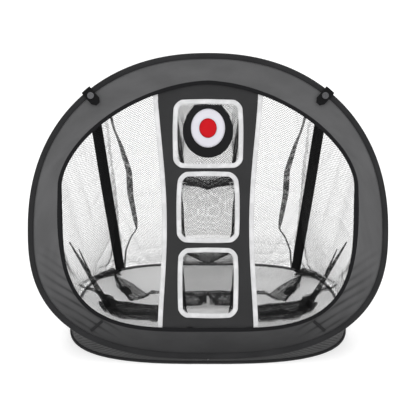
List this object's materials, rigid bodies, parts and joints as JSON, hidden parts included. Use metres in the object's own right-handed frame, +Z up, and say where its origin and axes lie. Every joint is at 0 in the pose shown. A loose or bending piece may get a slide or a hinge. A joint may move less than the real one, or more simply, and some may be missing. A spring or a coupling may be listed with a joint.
{
  "type": "golf chipping net",
  "caption": "Oval golf chipping net that stands on its own: a cloth band with ball pockets and a bullseye, on a sprung frame with a net behind.",
  "frame": {"origin": "middle of the footprint, on the floor", "axes": "+Z up, the pockets and the mouth face -Y, +X to the right as seen from the front"},
  "size_m": [0.6999, 0.4931, 0.5702],
  "materials": {
    "black_cloth": "woven polyester",
    "grey_cloth": "fine woven polyester",
    "netting": "small diamond knit mesh",
    "webbing": "flat woven webbing",
    "white_tape": "bias binding",
    "red_print": "printed cloth",
    "spring_steel": "flat spring steel",
    "crimp_steel": "plated",
    "stud_metal": "black press stud"
  },
  "bodies": {
    "base": {"base_hoop": "spring_steel", "base_hoop_ferrule": "crimp_steel", "base_sleeve": "black_cloth", "net_floor": "netting", "strap_anchor_left": "webbing", "strap_anchor_right": "webbing", "net_left": "netting", "net_right": "netting", "net_back": "netting", "net_seam_left": "netting", "net_seam_right": "netting", "corner_gusset_left": "grey_cloth", "corner_gusset_right": "grey_cloth", "strap_left": "webbing", "strap_right": "webbing"},
    "front_frame": {"centre_panel": "grey_cloth", "front_band": "grey_cloth", "front_hoop": "spring_steel", "front_hoop_ferrule": "crimp_steel", "front_sleeve": "black_cloth", "hinge_tape_left": "black_cloth", "hinge_tape_right": "black_cloth", "mouth_binding": "black_cloth", "panel_tape_left": "white_tape", "panel_tape_right": "white_tape", "pocket_net_bottom": "netting", "pocket_net_middle": "netting", "pocket_net_top": "netting", "pocket_trim_bottom": "white_tape", "pocket_trim_middle": "white_tape", "pocket_trim_top": "white_tape", "stud_posts": "stud_metal", "tab_root_left": "webbing", "tab_root_right": "webbing", "target_hanger": "black_cloth"},
    "target": {"target_disc": "black_cloth", "target_ring": "white_tape", "target_bullseye": "red_print"},
    "tab_left": {"strap_tab_left": "webbing", "stud_cap_left": "stud_metal"},
    "tab_right": {"strap_tab_right": "webbing", "stud_cap_right": "stud_metal"}
  },
  "joints": [
    {"name": "fold_down", "type": "hinge", "parent": "base", "child": "front_frame", "pos_m": [0, -0.2432, 0.0103], "axis": [-1, 0, 0], "range_deg": [0, 60], "stiffness_Nm_per_rad": 1.5, "springref_deg": -57.3, "deforming": ["net_left", "net_right", "net_back", "net_seam_left", "net_seam_right", "corner_gusset_left", "corner_gusset_right", "strap_left", "strap_right", "pocket_net_top", "pocket_net_middle", "pocket_net_bottom"]},
    {"name": "target_swing", "type": "hinge", "parent": "front_frame", "child": "target", "pos_m": [0, -0.07197, 0.47365], "axis": [-1, 0, 0], "range_deg": [-45, 30], "stiffness_Nm_per_rad": 0.02},
    {"name": "tab_left_open", "type": "hinge", "parent": "front_frame", "child": "tab_left", "pos_m": [-0.2367, -0.07115, 0.50308], "axis": [-0.7513, -0.2257, -0.6202], "range_deg": [0, 100]},
    {"name": "tab_right_open", "type": "hinge", "parent": "front_frame", "child": "tab_right", "pos_m": [0.2367, -0.07115, 0.50308], "axis": [-0.7513, 0.2257, 0.6202], "range_deg": [0, 100]}
  ]
}
